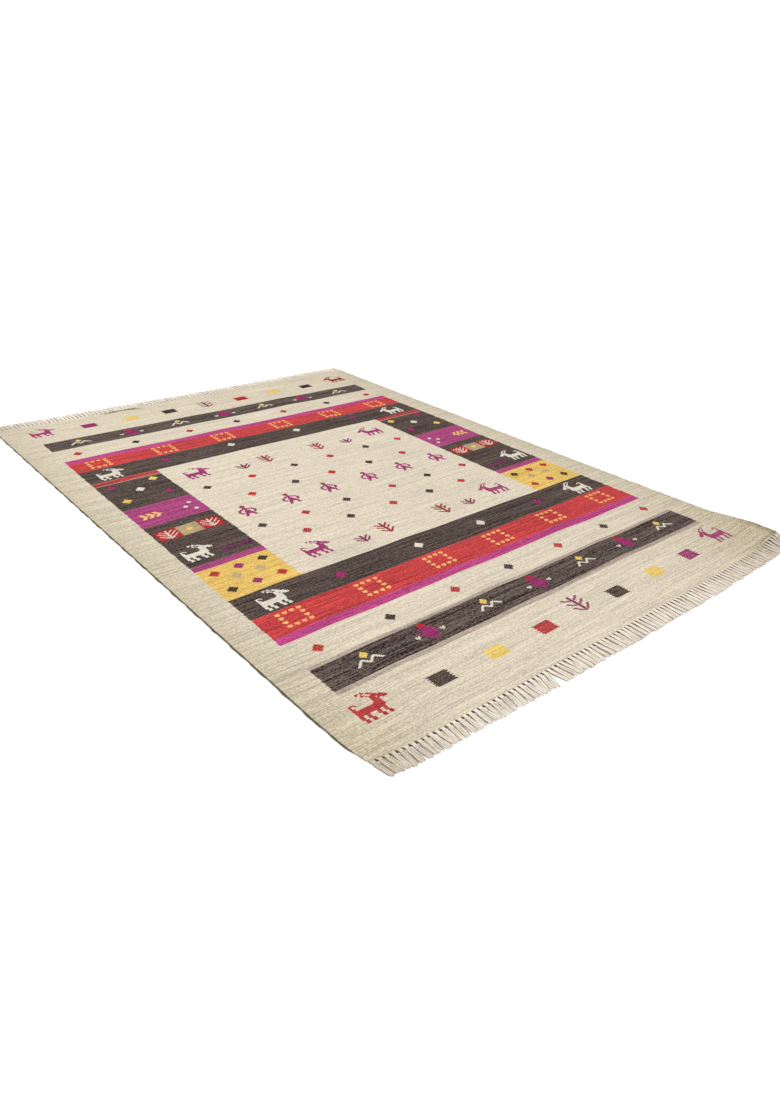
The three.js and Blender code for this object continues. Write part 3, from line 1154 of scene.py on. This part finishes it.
def cotton_material(name, pale, deep, painted_under_shade, darker_at_corners):
    """Cotton, paler and deeper by turns, darker with painted shade where the yarn_shade attribute says so and
    darker at three corners, with the grooves of its twist: a sine of the distance along the yarn and the turn
    round it, both read from the points' marks. The grooves get painted shade as well as a bump."""
    material, shader, x, y = new_material(name, 0.9)
    marks = x.node("ShaderNodeAttribute", {"attribute_name": "yarn_marks"}, {}, "Vector")
    along = marks.node("ShaderNodeSeparateXYZ", {}, {0: marks})
    cosine = Dye(along.tree, along.socket.node.outputs["Y"])
    sine = Dye(along.tree, along.socket.node.outputs["Z"])
    angle = along * (2 * math.pi / yarn_twist)
    twist = 0.5 + 0.5 * (angle.math("SINE") * cosine + angle.math("COSINE") * sine)
    tone = x.noise(y, (95.0, 28.0), 2.0, 31.0).after(0.5, 0.5)
    # Painted shade of the yarns that lie under the others
    shade = x.node("ShaderNodeAttribute", {"attribute_name": "yarn_shade"}, {}, "Fac")
    right_corner_darkening = 0.30 * x.after(*darkening_right) * (1 - y.after(0.0, 1.0))
    corner_darkening = 0.40 * (1 - x.after(*darkening_left)) + right_corner_darkening
    base = corner_darkening.blend(shade.blend(tone.blend(deep, pale), painted_under_shade), darker_at_corners)
    # Painted shade in the grooves of the twist
    painted_groove_shade = twist.after(0.25, 0.7).blend((0.86, 0.82, 0.77, 1.0), (1.0, 1.0, 1.0, 1.0))
    colour = (twist * 0 + 0.8).darken(base, painted_groove_shade)
    bump = x.node("ShaderNodeBump", {}, {"Strength": 0.6, "Distance": 0.0004, "Height": twist})
    x.tree.links.new(colour.socket, shader.inputs["Base Color"])
    x.tree.links.new(bump.socket, shader.inputs["Normal"])
    return material


def add_cotton(name, material, points, faces, marks, shade):
    """Piece of cotton with the marks and the shade of its points."""
    piece = add_mesh(name, points, faces)
    yarn_marks = piece.data.attributes.new("yarn_marks", "FLOAT_VECTOR", "POINT")
    yarn_marks.data.foreach_set("vector", marks.ravel())
    yarn_shade = piece.data.attributes.new("yarn_shade", "FLOAT", "POINT")
    yarn_shade.data.foreach_set("value", shade)
    piece.data.materials.append(material)
    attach(piece, "root")
    return piece


# Painted shade of the yarns that lie under the others, also used on the cord
under_yarn_painted_shade = shown(114, 94, 74)
corner_darker_yarns = shown(168, 150, 118)
pale_yarns = shown(274, 267, 253)
deep_yarns = shown(248, 234, 214)
cotton = cotton_material("cotton yarn", pale_yarns, deep_yarns, under_yarn_painted_shade, corner_darker_yarns)
# Painted shadow: the cord's dark colours stand for the shade between the tassels' roots
cord_shadow_colours = (shown(100, 84, 70), shown(76, 62, 52), under_yarn_painted_shade, under_yarn_painted_shade)
cord_shadow_cotton = cotton_material("cotton cord painted as root shadow", *cord_shadow_colours)
for fringe_name, side, seed in (("near", -1, 7), ("far", 1, 8)):
    tassels = add_cotton(f"tassels_{fringe_name}", cotton, *fringe_mesh(side, seed))
    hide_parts(f"fringe_{fringe_name}")
    points, faces, marks = cord_mesh(side)
    add_cotton(f"root_shadow_cord_{fringe_name}", cord_shadow_cotton, points, faces, marks, np.zeros(len(points)))
